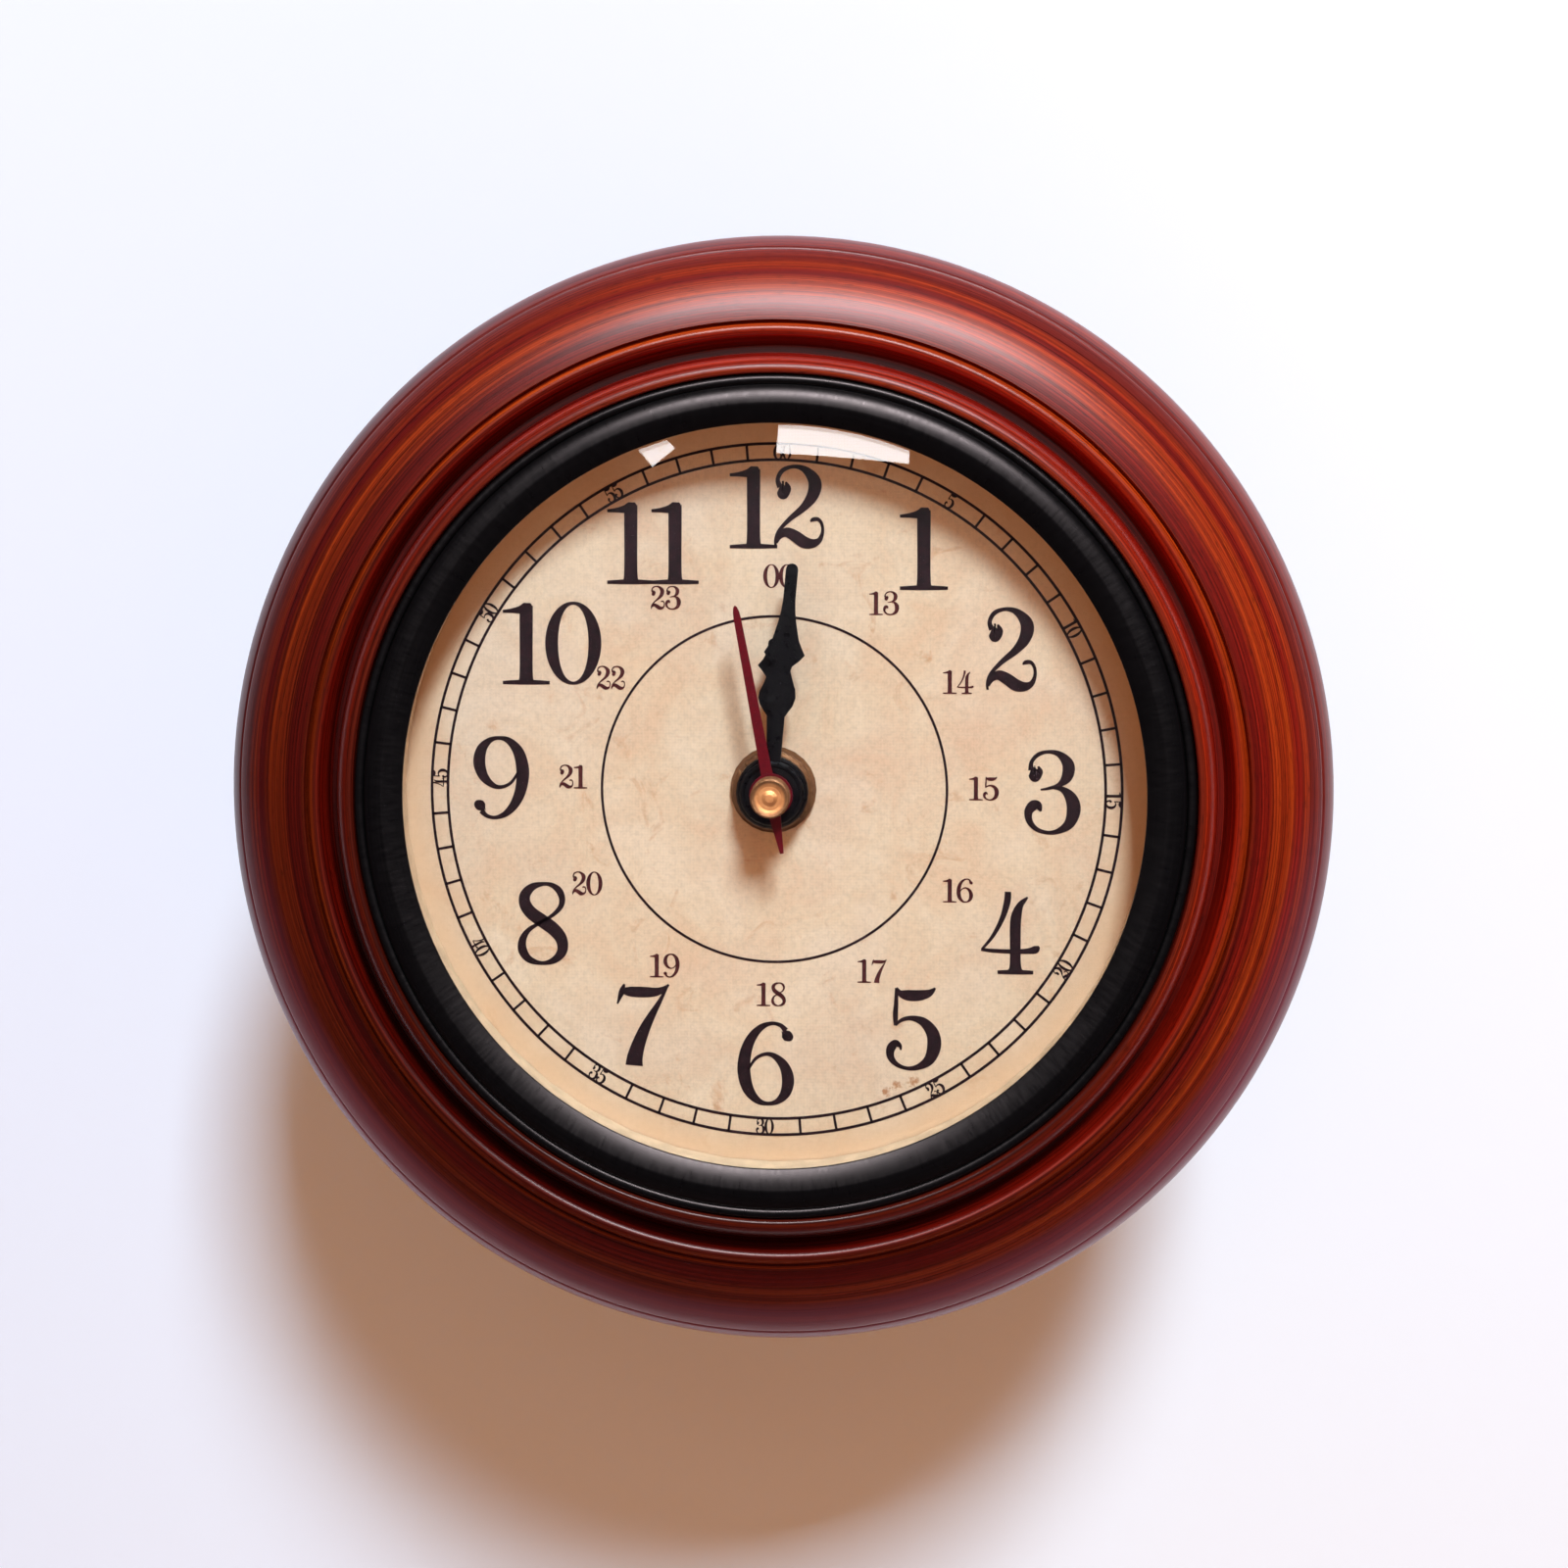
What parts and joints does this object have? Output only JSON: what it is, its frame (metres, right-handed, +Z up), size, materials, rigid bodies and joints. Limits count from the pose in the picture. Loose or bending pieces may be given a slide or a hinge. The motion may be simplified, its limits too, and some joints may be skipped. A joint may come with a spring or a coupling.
{
  "type": "wall clock",
  "caption": "Round turned-wood wall clock with a black inner ring, domed glass, printed dial, slim hands and a battery quartz movement with its full wheel train.",
  "frame": {"origin": "point where the clock's axis meets the wall plane, at the middle of the case's flat back", "axes": "+Z up to the 12, +Y into the wall, -Y out of the face towards the viewer, +X to the viewer's right"},
  "size_m": [0.2, 0.0378, 0.2],
  "materials": {
    "stained_wood": "streaked red-brown stain under semi-gloss lacquer",
    "black_lacquer": "black semi-gloss",
    "clear_glass": "clear polished",
    "cream_card": "matt cream",
    "parchment_print": "matt printed card with a parchment tone",
    "hardboard": "plain brown hardboard",
    "brass": "polished",
    "black_painted_metal": "black satin paint",
    "red_painted_metal": "dark red paint",
    "black_plastic": "fine texture",
    "white_plastic": "plain moulded",
    "black_rubber": "matt",
    "steel": "zinc plated",
    "copper_wire": "enamelled copper wire",
    "circuit_board": "green solder resist",
    "battery_jacket": "plain film jacket"
  },
  "bodies": {
    "case": {"wooden_case": "stained_wood", "bezel_ring": "black_lacquer", "domed_glass": "clear_glass", "glass_spacer": "cream_card", "dial_card": "parchment_print", "dial_board": "hardboard", "rubber_washer": "black_rubber", "dial_washer": "brass", "shaft_nut": "brass", "movement_case": "black_plastic", "movement_cover": "black_plastic", "stator": "steel", "coil_bobbin": "white_plastic", "coil_winding": "copper_wire", "coil_core": "steel", "circuit_board": "circuit_board", "timing_chip": "black_plastic", "quartz_crystal": "steel", "battery_contact_plus": "steel", "battery_contact_minus": "steel", "battery": "battery_jacket", "hanger_plate": "steel", "hanger_screw_left": "steel", "hanger_screw_right": "steel"},
    "second_arbor": {"second_wheel": "white_plastic", "second_hand": "red_painted_metal", "second_hand_cap": "brass"},
    "minute_arbor": {"minute_wheel": "white_plastic", "minute_hand": "black_painted_metal"},
    "hour_arbor": {"hour_wheel": "white_plastic", "hour_hand": "black_painted_metal"},
    "third_arbor": {"third_wheel": "white_plastic"},
    "intermediate_arbor": {"intermediate_wheel": "white_plastic"},
    "rotor_arbor": {"rotor": "steel"},
    "motion_arbor": {"motion_wheel": "white_plastic"},
    "setting_arbor": {"setting_knob": "white_plastic"}
  },
  "joints": [
    {"name": "second_spin", "type": "hinge", "parent": "case", "child": "second_arbor", "pos_m": [0, -0.01, 0], "axis": [0, 1, 0], "continuous": true},
    {"name": "minute_spin", "type": "hinge", "parent": "case", "child": "minute_arbor", "pos_m": [0, -0.01, 0], "axis": [0, 1, 0], "continuous": true},
    {"name": "hour_spin", "type": "hinge", "parent": "case", "child": "hour_arbor", "pos_m": [0, -0.01, 0], "axis": [0, 1, 0], "continuous": true},
    {"name": "third_spin", "type": "hinge", "parent": "case", "child": "third_arbor", "pos_m": [0.0051, -0.01, 0.00883], "axis": [0, 1, 0], "continuous": true},
    {"name": "intermediate_spin", "type": "hinge", "parent": "case", "child": "intermediate_arbor", "pos_m": [-0.01043, -0.01, 0.0028], "axis": [0, 1, 0], "continuous": true},
    {"name": "rotor_spin", "type": "hinge", "parent": "case", "child": "rotor_arbor", "pos_m": [-0.01463, -0.01, 0.01007], "axis": [0, 1, 0], "continuous": true},
    {"name": "motion_spin", "type": "hinge", "parent": "case", "child": "motion_arbor", "pos_m": [0.00846, -0.01, -0.00308], "axis": [0, 1, 0], "continuous": true},
    {"name": "setting_spin", "type": "hinge", "parent": "case", "child": "setting_arbor", "pos_m": [0.01732, -0.01, -0.00152], "axis": [0, 1, 0], "continuous": true}
  ],
  "couplings": [
    {"joint": "minute_spin", "follows": "second_spin", "ratio": 0.016667},
    {"joint": "hour_spin", "follows": "second_spin", "ratio": 0.0013889},
    {"joint": "third_spin", "follows": "second_spin", "ratio": -0.13333},
    {"joint": "intermediate_spin", "follows": "second_spin", "ratio": -5},
    {"joint": "rotor_spin", "follows": "second_spin", "ratio": 30},
    {"joint": "motion_spin", "follows": "second_spin", "ratio": -0.0055556},
    {"joint": "setting_spin", "follows": "second_spin", "ratio": 0.016667}
  ]
}
